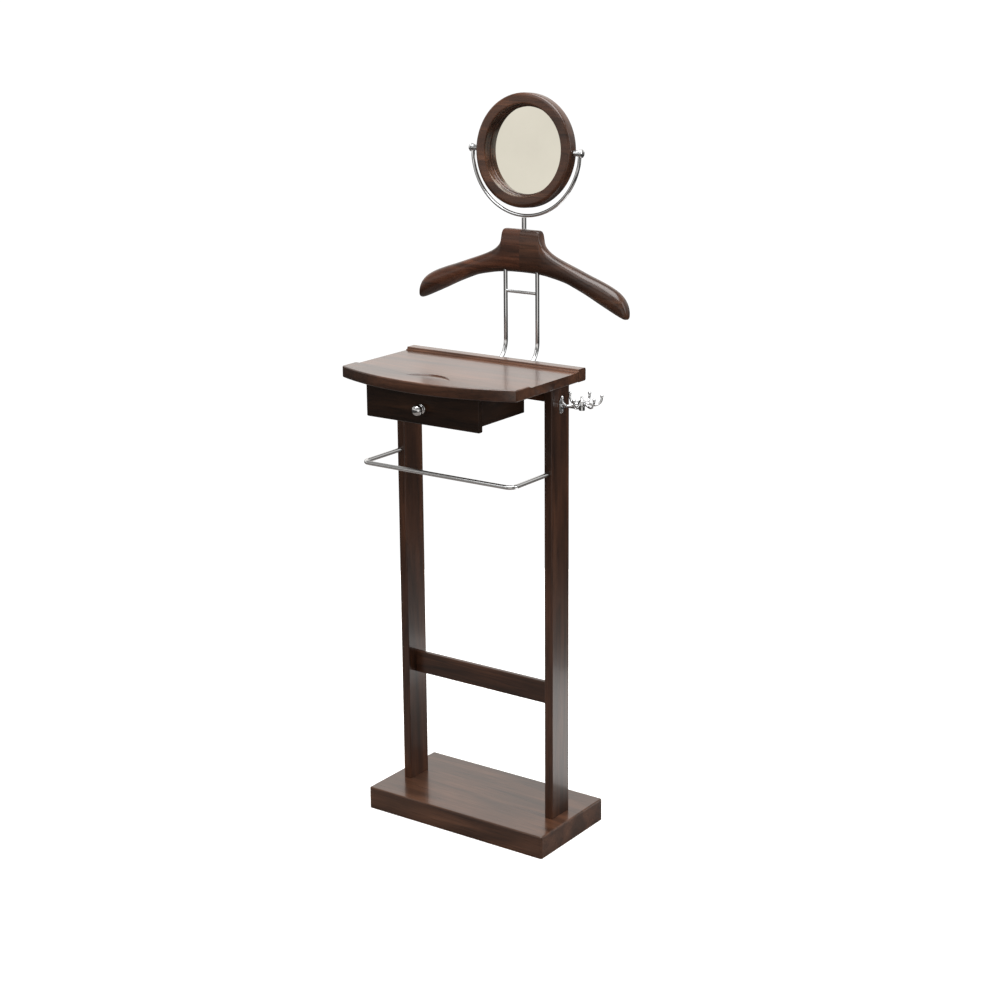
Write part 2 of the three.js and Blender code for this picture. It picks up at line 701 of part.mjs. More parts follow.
// ---- Yoke, stem and pivots ----
const yokePoints = [];
for (let i = 0; i <= 32; i += 1) {
  const angle = Math.PI + (Math.PI * i) / 32;
  yokePoints.push(V(YOKE_R * Math.cos(angle), 0, YOKE_R * Math.sin(angle)));
}
const eyelet = (sign) => bar(7, YOKE_END_T, 'x', 24).translate(sign * YOKE_END_X, 0, 0);
const eyeletBore = (sign) => bar(2.9, 14, 'x', 16).translate(sign * YOKE_END_X, 0, 0);
const cheek = (x) => new THREE.BoxGeometry(10, 20, 36).translate(x, 0, 8);
const cheekOffset = YOKE_END_T / 2 + 5;
const cheeks = [-1, 1].flatMap((sign) => [
  cheek(sign * YOKE_END_X - cheekOffset),
  cheek(sign * YOKE_END_X + cheekOffset),
]);
const yokeRod = cut(rod(yokePoints, YOKE_ROD_R, 10), ...cheeks);
const yokeBody = join(yokeRod, eyelet(-1), eyelet(1));
const yoke = leanBack(cut(yokeBody, eyeletBore(-1), eyeletBore(1)), YOKE_LEAN);
place('mirror_yoke', yoke, chrome());

const stemTop = PIVOT_Z - (YOKE_R + YOKE_ROD_R) * Math.cos(THREE.MathUtils.degToRad(YOKE_LEAN)) - GAP;
const stemBottom = HANGER_NECK_TOP - 29.5;
const stem = bar(STEM_R, stemTop - stemBottom, 'z', 20).translate(0, STEM_Y, (stemTop + stemBottom) / 2);
place('mirror_stem', stem, chrome());

// Pin with a collar between frame and yoke; the knob closes on its outer end.
const eyeletInner = YOKE_END_X - YOKE_END_T / 2;
const eyeletOuter = YOKE_END_X + YOKE_END_T / 2;
const pinProfile = [
  [0, 97.4],
  [2.5, 97.4],
  [2.5, MIRROR_R + GAP],
  [5.5, MIRROR_R + 1],
  [5.5, eyeletInner - 0.8],
  [5, eyeletInner - GAP],
  [2.5, eyeletInner - GAP],
  [2.5, eyeletOuter + 4],
  [0, eyeletOuter + 4],
];
const pivotKnobProfile = [
  [0, eyeletOuter + 6.4],
  [4, eyeletOuter + 6],
  [7, eyeletOuter + 4.8],
  [8.2, eyeletOuter + 3],
  [8.2, eyeletOuter + 1.4],
  [7.4, eyeletOuter + GAP],
  [0, eyeletOuter + GAP],
];
for (const [side, sign] of [['left', -1], ['right', 1]]) {
  const pin = turned(pinProfile, 20).rotateZ((-sign * Math.PI) / 2).translate(0, PIVOT_Y, PIVOT_Z);
  place(`mirror_pin_${side}`, toGeometry(toSolid(pin)), chrome());
  const grip = turned(pivotKnobProfile, 20).rotateZ((-sign * Math.PI) / 2).translate(0, PIVOT_Y, PIVOT_Z);
  const bore = bar(2.8, 8.8, 'x', 16).translate(sign * eyeletOuter, PIVOT_Y, PIVOT_Z);
  place(`mirror_knob_${side}`, cut(grip, bore), chrome());
}

// ---- Hook wheel ----
// Bracket: plate on the post, arm out to the hub's axis and an upright pin.
const plateX = POST_OUTER_X + GAP;
const armZ = HOOK_Z - 12;
const plate = alongX(roundedRect(13, 29, 6.4), plateX, plateX + 2.4, 0.6, 1, 4).translate(0, 0, armZ);
const armPoints = [
  V(plateX + 1, 0, armZ),
  V(HOOK_HUB_X, 0, armZ),
];
const armTube = rod(armPoints, 2.8, 12);
const armCup = bar(5.5, 7, 'z', 20).translate(HOOK_HUB_X, 0, armZ);
const pivotPin = bar(2.5, 22, 'z', 16).translate(HOOK_HUB_X, 0, armZ + 11);
const plateScrewHole = (z) => bar(1.9, 12, 'x', 12).translate(plateX, 0, z);
const bracket = join(plate, armTube, armCup, pivotPin);
const plateHoles = [plateScrewHole(HOOK_SCREW_LOW_Z), plateScrewHole(HOOK_SCREW_HIGH_Z)];
place('hook_bracket', cut(bracket, ...plateHoles), chrome());

const plateScrewProfile = [
  [0, 0],
  [1.6, 0],
  [1.6, 14.4],
  [3.1, 14.4],
  [2.8, 15.4],
  [1.5, 16],
  [0, 16.1],
];
for (const [level, z] of [['lower', HOOK_SCREW_LOW_Z], ['upper', HOOK_SCREW_HIGH_Z]]) {
  const screw = turned(plateScrewProfile, 16).rotateZ(-Math.PI / 2);
  screw.translate(plateX + 2.4 + GAP - 14.4, 0, z);
  place(`hook_screw_${level}`, toGeometry(toSolid(screw)), steel());
}

const hubBottom = armZ + 3.5 + GAP;
const hubProfile = [
  [2.8, 0],
  [6.4, 0],
  [7.2, 1.2],
  [7.2, 8.8],
  [6, 10.6],
  [2.8, 11.4],
  [2.8, 0],
];
const hub = turned(hubProfile, 24).rotateX(Math.PI / 2).translate(HOOK_HUB_X, 0, hubBottom);
place('hook_hub', toGeometry(toSolid(hub)), chrome());

// Prong seen from the side: (distance from the hub's axis, height above the bracket arm).
const prongSide = [
  [7.5, 9.2],
  [13, 8.6],
  [19, 6.4],
  [25, 5.4],
  [30.5, 7.2],
  [34.4, 11.4],
  [36.2, 16],
  [36.2, 20.2],
];
const TIP_R = 3.1;
for (let n = 0; n < HOOK_PRONGS; n += 1) {
  const angle = THREE.MathUtils.degToRad(HOOK_FIRST_ANGLE + (360 * n) / HOOK_PRONGS);
  const smooth = new THREE.CatmullRomCurve3(prongSide.map(([r, h]) => V(r, 0, h))).getSpacedPoints(11);
  const wire = rod(smooth, HOOK_WIRE_R, 7);
  const tip = new THREE.SphereGeometry(TIP_R, 10, 6).translate(HOOK_REACH - TIP_R, 0, 21.6);
  const prong = join(wire, tip).rotateZ(angle).translate(HOOK_HUB_X, 0, armZ);
  place(`hook_prong_${n + 1}`, prong, chrome());
}

export default stand;
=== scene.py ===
"""Valet stand: fine surfaces, materials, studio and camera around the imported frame."""
import json
import math

import bmesh
import bpy
from mathutils import Matrix, Vector


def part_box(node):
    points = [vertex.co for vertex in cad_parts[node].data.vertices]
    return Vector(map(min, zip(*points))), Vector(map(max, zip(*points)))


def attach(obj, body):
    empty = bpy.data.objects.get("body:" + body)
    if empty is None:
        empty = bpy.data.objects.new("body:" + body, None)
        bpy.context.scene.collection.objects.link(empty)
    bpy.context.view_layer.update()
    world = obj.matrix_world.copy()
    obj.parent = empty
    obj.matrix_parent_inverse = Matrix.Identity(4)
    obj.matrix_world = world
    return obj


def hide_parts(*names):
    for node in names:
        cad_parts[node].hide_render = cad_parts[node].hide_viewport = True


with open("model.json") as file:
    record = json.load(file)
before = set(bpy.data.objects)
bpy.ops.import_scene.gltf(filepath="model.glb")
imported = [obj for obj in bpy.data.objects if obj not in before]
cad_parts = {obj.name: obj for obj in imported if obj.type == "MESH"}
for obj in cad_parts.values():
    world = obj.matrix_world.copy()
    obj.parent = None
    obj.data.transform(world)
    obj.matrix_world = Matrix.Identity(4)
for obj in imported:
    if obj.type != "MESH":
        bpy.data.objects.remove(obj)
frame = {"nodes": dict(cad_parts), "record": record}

scene = bpy.context.scene
MM = 0.001
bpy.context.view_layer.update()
NODE_BODY = {n: b for b, names in frame["record"]["behaviour"]["bodies"].items() for n in names}


# ---------------------------------------------------------------- materials
def grey(v):
    return (v, v, v)


class Nodes:
    """Short way to add and join the shader nodes of a material or a world."""

    def __init__(self, owner):
        owner.use_nodes = True
        self.owner = owner
        self.tree = owner.node_tree
        self.bsdf = self.tree.nodes.get("Principled BSDF")

    def add(self, kind, **settings):
        """Adds a node; a setting names one of its sockets or else one of its properties."""
        node = self.tree.nodes.new(kind)
        for key, value in settings.items():
            if key in node.inputs:
                node.inputs[key].default_value = value
            else:
                setattr(node, key, value)
        return node

    def join(self, a, b):
        self.tree.links.new(a, b)

    def feed(self, value, socket):
        """Links a socket to a socket, or sets a number or a colour on it."""
        if isinstance(value, bpy.types.NodeSocket):
            self.join(value, socket)
        elif isinstance(value, (int, float)):
            socket.default_value = value
        else:
            socket.default_value = (*value, 1)

    def ramp(self, source, stops):
        """Colours by place along a 0 to 1 scale."""
        node = self.add("ShaderNodeValToRGB")
        while len(node.color_ramp.elements) < len(stops):
            node.color_ramp.elements.new(0.5)
        for element, (place, colour) in zip(node.color_ramp.elements, stops):
            element.position = place
            element.color = (*colour, 1)
        self.join(source, node.inputs["Fac"])
        return node.outputs["Color"]

    def multiply(self, factor, a, b):
        """Colour a darkened or lightened by colour b, as far as factor says."""
        node = self.add("ShaderNodeMix", data_type="RGBA", blend_type="MULTIPLY")
        for value, place in ((factor, 0), (a, 6), (b, 7)):
            self.feed(value, node.inputs[place])
        return node.outputs[2]

    def maths(self, operation, a, b):
        node = self.add("ShaderNodeMath", operation=operation)
        self.feed(a, node.inputs[0])
        self.feed(b, node.inputs[1])
        return node.outputs[0]


def new_material(name):
    return Nodes(bpy.data.materials.new(name))


def wood(name, grain, seed, tones, roughness=0.3, coat=0.25, coat_roughness=0.12, ior=1.4):
    """Stained, lacquered open-grain wood with its grain along one axis."""
    n = new_material(name)
    dark, mid, light = tones
    place = n.add("ShaderNodeTexCoord").outputs["Object"]
    turn = {"X": (0, 0, 0), "Y": (0, 0, math.pi / 2), "Z": (0, math.pi / 2, 0)}[grain]
    shift = (seed * 1.37, seed * 2.11, seed * 0.73)

    def stretched(along, across):
        first = n.add("ShaderNodeMapping", Rotation=turn, Location=shift)
        n.join(place, first.inputs["Vector"])
        second = n.add("ShaderNodeMapping", Scale=(along, across, across))
        n.join(first.outputs["Vector"], second.inputs["Vector"])
        return second.outputs["Vector"]

    def noise(vector, scale, detail, rough, distortion=0.0):
        node = n.add("ShaderNodeTexNoise", Scale=scale, Detail=detail, Roughness=rough,
                     Distortion=distortion)
        n.join(vector, node.inputs["Vector"])
        return node.outputs["Fac"]

    def shaded(colour, factor, pattern, low, high):
        """The colour multiplied by a pattern that runs between two (place, tone) stops."""
        return n.multiply(factor, colour, n.ramp(pattern, [low, high]))

    figure = noise(stretched(1.6, 17), 1.5, 4, 0.6, 0.9)
    cathedral = n.add("ShaderNodeTexWave", Scale=1.2, Distortion=7.0, Detail=3.0)
    cathedral.inputs["Detail Scale"].default_value = 0.7
    n.join(stretched(1.1, 26), cathedral.inputs["Vector"])
    fibres = noise(stretched(9, 230), 1.0, 2, 0.5)
    pores = noise(stretched(16, 430), 1.0, 1, 0.5)
    cloud = noise(stretched(4, 6), 1.6, 3, 0.5)

    base = n.ramp(figure, [(0.33, dark), (0.52, mid), (0.72, light)])
    base = shaded(base, 0.34, cathedral.outputs["Fac"], (0.0, grey(0.5)), (1.0, grey(1.25)))
    base = shaded(base, 0.4, fibres, (0.3, grey(0.62)), (0.7, grey(1.3)))
    base = shaded(base, 0.38, cloud, (0.3, grey(0.6)), (0.7, (1.35, 1.2, 1.12)))
    base = shaded(base, 0.45, pores, (0.36, grey(0.3)), (0.43, grey(1.0)))
    n.join(base, n.bsdf.inputs["Base Color"])

    gloss = n.add("ShaderNodeMapRange")
    gloss.inputs["To Min"].default_value = roughness - 0.02
    gloss.inputs["To Max"].default_value = roughness + 0.03
    n.join(fibres, gloss.inputs["Value"])
    n.join(gloss.outputs["Result"], n.bsdf.inputs["Roughness"])

    height = n.maths("ADD", n.maths("MULTIPLY", pores, 0.5), n.maths("MULTIPLY", cloud, 0.8))
    bump = n.add("ShaderNodeBump", Strength=0.015, Distance=0.0003)
    n.join(height, bump.inputs["Height"])
    n.join(bump.outputs["Normal"], n.bsdf.inputs["Normal"])
    n.bsdf.inputs["IOR"].default_value = ior
    n.bsdf.inputs["Coat Weight"].default_value = coat
    n.bsdf.inputs["Coat Roughness"].default_value = coat_roughness
    return n.owner


def metal(name, colour, roughness, spread, scale, across):
    """Metal whose gloss changes a little over the surface, in marks drawn out along Z if brushed."""
    n = new_material(name)
    place = n.add("ShaderNodeTexCoord").outputs["Object"]
    mapping = n.add("ShaderNodeMapping", Scale=(across, across, 1))
    n.join(place, mapping.inputs["Vector"])
    marks = n.add("ShaderNodeTexNoise", Scale=scale, Detail=4.0, Roughness=0.6)
    n.join(mapping.outputs["Vector"], marks.inputs["Vector"])
    gloss = n.add("ShaderNodeMapRange")
    gloss.inputs["From Min"].default_value = 0.3
    gloss.inputs["From Max"].default_value = 0.7
    gloss.inputs["To Min"].default_value = roughness
    gloss.inputs["To Max"].default_value = roughness + spread
    n.join(marks.outputs["Fac"], gloss.inputs["Value"])
    n.join(gloss.outputs["Result"], n.bsdf.inputs["Roughness"])
    tone = n.ramp(marks.outputs["Fac"], [(0.3, tuple(c * 0.93 for c in colour)), (0.7, colour)])
    n.join(tone, n.bsdf.inputs["Base Color"])
    n.bsdf.inputs["Metallic"].default_value = 1.0
    return n.owner


# Dark, middle and light tones of each stain. The two hanger sets are one walnut: the left is painted
# lighter and redder (painted light) and the right darker (painted shade).
DARK = (0.022, 0.0086, 0.0042)
WALNUT = (DARK, (0.062, 0.0252, 0.0128), (0.115, 0.049, 0.0255))
BASE_WALNUT = ((0.036, 0.0155, 0.0082), (0.078, 0.0345, 0.0185), (0.125, 0.058, 0.032))
LEFT_HANGER_WALNUT_PAINTED_LIGHT = (DARK, (0.07, 0.0252, 0.0125), (0.125, 0.05, 0.0255))
RIGHT_HANGER_WALNUT_PAINTED_SHADE = (DARK, (0.05, 0.0208, 0.011), (0.1, 0.043, 0.022))
DARK_WALNUT = ((0.008, 0.0036, 0.0018), (0.022, 0.0096, 0.0046), (0.052, 0.023, 0.0115))

base_wood = wood("walnut_base", "X", 1.0, BASE_WALNUT, 0.28, 0.45, 0.1)
left_post_wood = wood("walnut_post_left", "Z", 2.3, WALNUT)
right_post_wood = wood("walnut_post_right", "Z", 4.1, WALNUT)
rail_wood = wood("walnut_rail", "X", 5.7, WALNUT)
tray_wood = wood("walnut_tray", "X", 7.9, WALNUT, 0.3, 0.6, 0.14)
# The hanger halves share one walnut; the left half carries painted light and the right half carries
# painted shade.
hanger_wood = {
    "left": wood("walnut_hanger_left_painted_light", "X", 9.2, LEFT_HANGER_WALNUT_PAINTED_LIGHT),
    "right": wood("walnut_hanger_right_painted_shade", "X", 12.6, RIGHT_HANGER_WALNUT_PAINTED_SHADE),
}
mirror_wood = wood("walnut_mirror", "X", 15.3, WALNUT)
drawer_x = wood("dark_walnut_front", "X", 3.3, DARK_WALNUT, 0.34, 0.1, 0.18, 1.3)
drawer_y = wood("dark_walnut_side", "Y", 6.6, DARK_WALNUT, 0.36, 0.1, 0.2, 1.34)
chrome = metal("polished_chrome", (0.66, 0.67, 0.68), 0.05, 0.06, 90, 1)
steel = metal("zinc_steel", (0.5, 0.51, 0.53), 0.26, 0.16, 160, 6)
silver = metal("mirror_silvering", (0.86, 0.84, 0.74), 0.008, 0.008, 8, 1)


# ---------------------------------------------------------------- shapes and pieces
AXES = {"X": Vector((1, 0, 0)), "Y": Vector((0, 1, 0)), "Z": Vector((0, 0, 1))}
MERGE_M = 2e-6
FLAT_DEG = 0.6
CLOSED_END_R = 0.02  # in mm: the ring that closes a turned piece at its axis


def box_of(node):
    """A CAD node's box in millimetres."""
    lo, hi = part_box(node)
    return lo / MM, hi / MM


def finish_mesh(bm, name, node, material, sharp_angle):
    """Makes the mesh a piece that stands for a CAD node and moves with its body."""
    bmesh.ops.recalc_face_normals(bm, faces=bm.faces)
    mesh = bpy.data.meshes.new(name)
    bm.to_mesh(mesh)
    bm.free()
    mesh.shade_smooth()
    mesh.set_sharp_from_angle(angle=math.radians(sharp_angle))
    mesh.materials.append(material)
    obj = bpy.data.objects.new(name, mesh)
    scene.collection.objects.link(obj)
    soft = obj.modifiers.new("face_weighted_normals", "WEIGHTED_NORMAL")
    soft.weight = 100
    soft.keep_sharp = True
    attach(obj, NODE_BODY[node])
    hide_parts(node)


def refined(node, name, material, sharp_angle=32):
    """The CAD solid with shared corners, flat faces joined and smooth shading."""
    bm = bmesh.new()
    bm.from_mesh(frame["nodes"][node].data)
    bmesh.ops.remove_doubles(bm, verts=bm.verts, dist=MERGE_M)
    bmesh.ops.dissolve_limit(bm, angle_limit=math.radians(FLAT_DEG), verts=bm.verts,
                             edges=bm.edges)
    finish_mesh(bm, name, node, material, sharp_angle)


def ring_surface(bm, rings, closed=False):
    """Joins rings of points into a skin, which is capped at both ends or closed on itself."""
    rows = [[bm.verts.new(p) for p in ring] for ring in rings]
    count = len(rows[0])
    pairs = list(zip(rows, rows[1:])) + ([(rows[-1], rows[0])] if closed else [])
    for a, b in pairs:
        for k in range(count):
            m = (k + 1) % count
            bm.faces.new((a[k], a[m], b[m], b[k]))
    if not closed:
        bm.faces.new(rows[0][::-1])
        bm.faces.new(rows[-1])


def circle(centre, u, v, radius, sides):
    """Points round a circle in the plane of u and v."""
    turn = [2 * math.pi * k / sides for k in range(sides)]
    return [centre + (u * math.cos(a) + v * math.sin(a)) * radius for a in turn]


def tube_rings(points, radius, sides, ease=0.0):
    """Rings round a path, kept from twisting, with eased ends."""
    last = len(points) - 1
    normal = None
    stations = []
    for i, p in enumerate(points):
        tangent = (points[min(i + 1, last)] - points[max(i - 1, 0)]).normalized()
        if normal is None:
            normal = tangent.orthogonal().normalized()
        normal = (normal - tangent * normal.dot(tangent)).normalized()
        stations.append((p, tangent, normal, tangent.cross(normal)))

    rings = [circle(p, n, s, radius, sides) for p, _, n, s in stations]
    if ease:
        p, t, n, s = stations[0]
        rings[0] = circle(p + t * ease, n, s, radius, sides)
        rings.insert(0, circle(p, n, s, radius - ease, sides))
        p, t, n, s = stations[-1]
        rings[-1] = circle(p - t * ease, n, s, radius, sides)
        rings.append(circle(p, n, s, radius - ease, sides))
    return rings


def lathe_rings(profile, segments, axis, centre, along=1):
    """Rings of a turned profile of (radius, height) in mm about an axis through centre."""
    u, v = {"X": ("Y", "Z"), "Y": ("Z", "X"), "Z": ("X", "Y")}[axis]
    return [circle(Vector(centre) + AXES[axis] * (along * h * MM), AXES[u], AXES[v],
                   max(r, CLOSED_END_R) * MM, segments) for r, h in profile]


def rounded(profile, sharpness=0.35, steps=3):
    """A turned profile with its corners cut into short curves."""
    out = [profile[0]]
    for i in range(1, len(profile) - 1):
        a, b, c = Vector(profile[i - 1]), Vector(profile[i]), Vector(profile[i + 1])
        p, q = b.lerp(a, sharpness), b.lerp(c, sharpness)
        for k in range(steps + 1):
            t = k / steps
            point = p * (1 - t) ** 2 + b * 2 * t * (1 - t) + q * t * t
            out.append((point.x, point.y))
    out.append(profile[-1])
    return out


def turned(name, node, material, profile, segments, axis, centre, along=1, sharp_angle=40):
    """A solid piece turned from a profile; its ends are closed at the axis."""
    bm = bmesh.new()
    ring_surface(bm, lathe_rings(profile, segments, axis, centre, along))
    finish_mesh(bm, name, node, material, sharp_angle)


def tube(node, points, radius, sides=40, ease=0.0004):
    """A chrome rod along a path in mm."""
    bm = bmesh.new()
    ring_surface(bm, tube_rings([Vector(p) * MM for p in points], radius * MM, sides, ease))
    finish_mesh(bm, f"{node}_chrome", node, chrome, 50)


def bent(corners, radius, steps=20):
    """Straight runs with their inner corners bent to a radius."""
    corners = [Vector(c) for c in corners]
    out = [corners[0]]
    for i in range(1, len(corners) - 1):
        into = (corners[i] - corners[i - 1]).normalized()
        leave = (corners[i + 1] - corners[i]).normalized()
        half = into.angle(leave) / 2
        start = corners[i] - into * radius * math.tan(half)
        inward = (leave - into * leave.dot(into)).normalized()
        centre = start + inward * radius
        for k in range(steps + 1):
            a = 2 * half * k / steps
            out.append(centre - inward * radius * math.cos(a) + into * radius * math.sin(a))
    out.append(corners[-1])
    return out


def monotone(table):
    """Smooth curve through a table that never overshoots its points."""
    xs, ys = [p[0] for p in table], [p[1] for p in table]
    d = [(ys[i + 1] - ys[i]) / (xs[i + 1] - xs[i]) for i in range(len(xs) - 1)]
    m = [d[0]] + [0 if a * b <= 0 else 2 * a * b / (a + b) for a, b in zip(d, d[1:])] + [d[-1]]

    def at(x):
        i = 0
        while i < len(xs) - 2 and x > xs[i + 1]:
            i += 1
        h = xs[i + 1] - xs[i]
        t = min(max((x - xs[i]) / h, 0), 1)
        return ((2 * t**3 - 3 * t**2 + 1) * ys[i] + (t**3 - 2 * t**2 + t) * h * m[i]
                + (3 * t**2 - 2 * t**3) * ys[i + 1] + (t**3 - t**2) * h * m[i + 1])
    return at


def catmull(points, steps):
    """Smooth line through points in a plane."""
    pts = [2 * Vector(points[0]) - Vector(points[1])] + [Vector(p) for p in points]
    pts.append(2 * pts[-1] - pts[-2])
    out = []
    for i in range(1, len(pts) - 2):
        p0, p1, p2, p3 = pts[i - 1:i + 3]
        for k in range(steps):
            t = k / steps
            out.append(0.5 * (2 * p1 + (p2 - p0) * t + (2 * p0 - 5 * p1 + 4 * p2 - p3) * t * t
                              + (3 * p1 - p0 - 3 * p2 + p3) * t**3))
    out.append(pts[-2])
    return out


# Boards keep the CAD shape.
boards = {
    "base_board": base_wood,
    "left_post": left_post_wood,
    "right_post": right_post_wood,
    "lower_rail": rail_wood,
    "upper_rail": rail_wood,
    "tray_board": tray_wood,
    "tray_back_rail": tray_wood,
    "case_side_left": drawer_y,
    "case_side_right": drawer_y,
    "case_back": drawer_x,
    "case_runner_left": drawer_y,
    "case_runner_right": drawer_y,
    "drawer_front": drawer_x,
    "drawer_side_left": drawer_y,
    "drawer_side_right": drawer_y,
    "drawer_back": drawer_x,
    "drawer_bottom": drawer_x,
    "mirror_back": mirror_wood,
}
for node, material in boards.items():
    refined(node, f"{node}_wood", material)

# Trouser bar, upright rods and their cross rod, in mm.
TROUSER_BAR_R, TROUSER_BAR_BEND = 4.25, 14
UPRIGHT_R, UPRIGHT_BEND = 4, 46
CROSS_ROD_R = 3

lo, hi = box_of("trouser_bar")
z, end_x = (lo.z + hi.z) / 2, hi.x - TROUSER_BAR_R
front_y = lo.y + TROUSER_BAR_R
bar_corners = [(-end_x, hi.y, z), (-end_x, front_y, z), (end_x, front_y, z), (end_x, hi.y, z)]
tube("trouser_bar", bent(bar_corners, TROUSER_BAR_BEND), TROUSER_BAR_R)
for side in ("left", "right"):
    lo, hi = box_of(f"upright_rod_{side}")
    x, run, back = (lo.x + hi.x) / 2, lo.z + UPRIGHT_R, hi.y - UPRIGHT_R
    tube(f"upright_rod_{side}",
         bent([(x, lo.y, run), (x, back, run), (x, back, hi.z)], UPRIGHT_BEND), UPRIGHT_R)
lo, hi = box_of("upright_cross_rod")
mid = (lo + hi) / 2
tube("upright_cross_rod", [(lo.x, mid.y, mid.z), (hi.x, mid.y, mid.z)], CROSS_ROD_R)

# Coat hanger: two carved halves, from tables of (distance from the middle, height or half depth).
NECK = box_of("hanger_left")[1].z
TOP = [(0, NECK), (36, NECK), (40, NECK - 0.6), (41.8, NECK - 2.4), (42.6, NECK - 6),
       (43.4, NECK - 12), (45, 1130), (48.2, 1122.5), (54, 1115.5), (63, 1108.5), (77, 1101.3),
       (98, 1093), (122, 1084.6), (150, 1074.6), (180, 1064.6), (204, 1055), (219, 1046.6),
       (229, 1037.6), (235, 1028.6), (238.6, 1019.6), (240.4, 1011.4), (241, 1005.6)]
BOTTOM = [(0, 1067.5), (25, 1067), (50, 1065), (75, 1061), (104, 1054.6), (122, 1048),
          (150, 1036.4), (180, 1022.4), (204, 1011.6), (219, 1005), (229, 1001), (235, 999.4),
          (238.6, 999.8), (240.4, 1001.4), (241, 1004)]
HALF_DEPTH = [(0, 12.5), (36, 12.5), (70, 13.4), (110, 15.5), (160, 17), (204, 17), (222, 16),
              (232, 13.4), (237.5, 9.8), (240.2, 5.6), (241, 1.5)]
HANGER_REACH = 241
HANGER_Y = 141.5
HANGER_SWEEP = 7
NECK_SQUARENESS, SQUARENESS_DROP, OVAL_FROM = 3.6, 1.2, 150
top_at, bottom_at, half_at = monotone(TOP), monotone(BOTTOM), monotone(HALF_DEPTH)


def hanger_ring(x, sign, points=72):
    """Section of a hanger half: nearly a box at the neck and an oval out along the arm."""
    z1, z0, half = top_at(x), bottom_at(x), half_at(x)
    forward = HANGER_SWEEP * (x / HANGER_REACH) ** 2
    power = 2 / (NECK_SQUARENESS - SQUARENESS_DROP * min(x / OVAL_FROM, 1))
    ring = []
    for k in range(points):
        a = 2 * math.pi * (k + 0.5) / points
        c, s = math.cos(a), math.sin(a)
        y = HANGER_Y - forward + half * math.copysign(abs(c) ** power, c)
        z = (z1 + z0) / 2 + (z1 - z0) / 2 * math.copysign(abs(s) ** power, s)
        ring.append(Vector((sign * x, y, z)) * MM)
    return ring


def hanger_stations():
    """Places of the sections, closer together at the shoulder of the neck and at the tip."""
    out = [0.02, 0.5]
    for start, step, count in ((2, 2, 19), (39, 0.5, 20), (49, 3, 52), (204, 1.5, 20),
                               (234, 0.5, 13)):
        out += [start + step * i for i in range(count)]
    return out + [240.3, 240.6, 240.8, HANGER_REACH]


for side, sign in (("left", -1), ("right", 1)):
    bm = bmesh.new()
    ring_surface(bm, [hanger_ring(x, sign) for x in hanger_stations()])
    finish_mesh(bm, f"hanger_{side}_wood", f"hanger_{side}", hanger_wood[side], 50)

# Mirror: turned ring and glass, leant back about the pivots; profiles are (radius, depth) in mm.
MIRROR_LEAN, YOKE_LEAN = math.radians(4.6), math.radians(3)
PIVOT = Vector((0, 152, 1297.54)) * MM
MIDDLE_DEPTH = 13
RING = [(82, 19.7), (82, 16.8), (83, 15.6), (84, 15.4), (84.2, 11.8), (85.3, 10.6), (85.9, 10.4),
        (86.1, 3.2), (87.2, 0.9), (89.2, 0), (100.6, 0), (104.9, 0.8), (107, 2.6), (107.6, 5.4),
        (107.6, 20.6), (106.6, 23.2), (103.4, 25.2), (99.5, 26), (91, 26), (91, 19.7)]
GLASS = [(0, 7), (90, 7), (90.7, 7.6), (90.7, 9.7), (0, 9.7)]


def leant(bm, angle):
    """Leans a mesh that is drawn round the origin and moves it to the pivot line."""
    turn = Matrix.Translation(PIVOT) @ Matrix.Rotation(-angle, 4, "X")
    bmesh.ops.transform(bm, matrix=turn, verts=bm.verts)


bm = bmesh.new()
ring_profile = [(r, depth - MIDDLE_DEPTH) for r, depth in RING]
ring_surface(bm, lathe_rings(ring_profile, 192, "Y", (0, 0, 0)), closed=True)
leant(bm, MIRROR_LEAN)
finish_mesh(bm, "mirror_frame_wood", "mirror_frame", mirror_wood, 38)
bm = bmesh.new()
ring_surface(bm, lathe_rings(GLASS, 128, "Y", (0, 0, 0)))
leant(bm, MIRROR_LEAN)
finish_mesh(bm, "mirror_glass_silvered", "mirror_glass", silver, 25)

# Mirror yoke: half a hoop, flattened towards its ends, with an eyelet at each end.
YOKE_R, YOKE_ROD_R, YOKE_STEPS = 122.3, 3.5, 96
EYELET_X = 121
EYELET = [(2.9, -1.8), (6.2, -1.8), (6.8, -1.4), (7, -0.8), (7, 0.8), (6.8, 1.4), (6.2, 1.8),
          (2.9, 1.8)]
EYELET_GAP = 4.2
FLAT_START, FLAT_RUN, FLAT_HALF, FLAT_WIDENING = -26, 16, 1.8, 0.35

bm = bmesh.new()
short = math.asin(EYELET_GAP / YOKE_R)
arc = [math.pi + short + (math.pi - 2 * short) * i / YOKE_STEPS for i in range(YOKE_STEPS + 1)]
hoop = [Vector((YOKE_R * math.cos(a), 0, YOKE_R * math.sin(a))) * MM for a in arc]
ring_surface(bm, tube_rings(hoop, YOKE_ROD_R * MM, 32))
for v in bm.verts:
    if v.co.z > FLAT_START * MM:
        flat = min((v.co.z / MM - FLAT_START) / FLAT_RUN, 1)
        middle = math.copysign(EYELET_X * MM, v.co.x)
        squeezed = middle + max(min(v.co.x - middle, FLAT_HALF * MM), -FLAT_HALF * MM)
        v.co.x = v.co.x * (1 - flat) + squeezed * flat
        v.co.y *= 1 + FLAT_WIDENING * flat
for sign in (-1, 1):
    ring_surface(bm, lathe_rings(EYELET, 40, "X", (sign * EYELET_X * MM, 0, 0)), closed=True)
leant(bm, YOKE_LEAN)
finish_mesh(bm, "mirror_yoke_chrome", "mirror_yoke", chrome, 50)

STEM_Y, STEM_R = 146, 4.5
lo, hi = box_of("mirror_stem")
tube("mirror_stem", [(0, STEM_Y, lo.z), (0, STEM_Y, hi.z)], STEM_R)

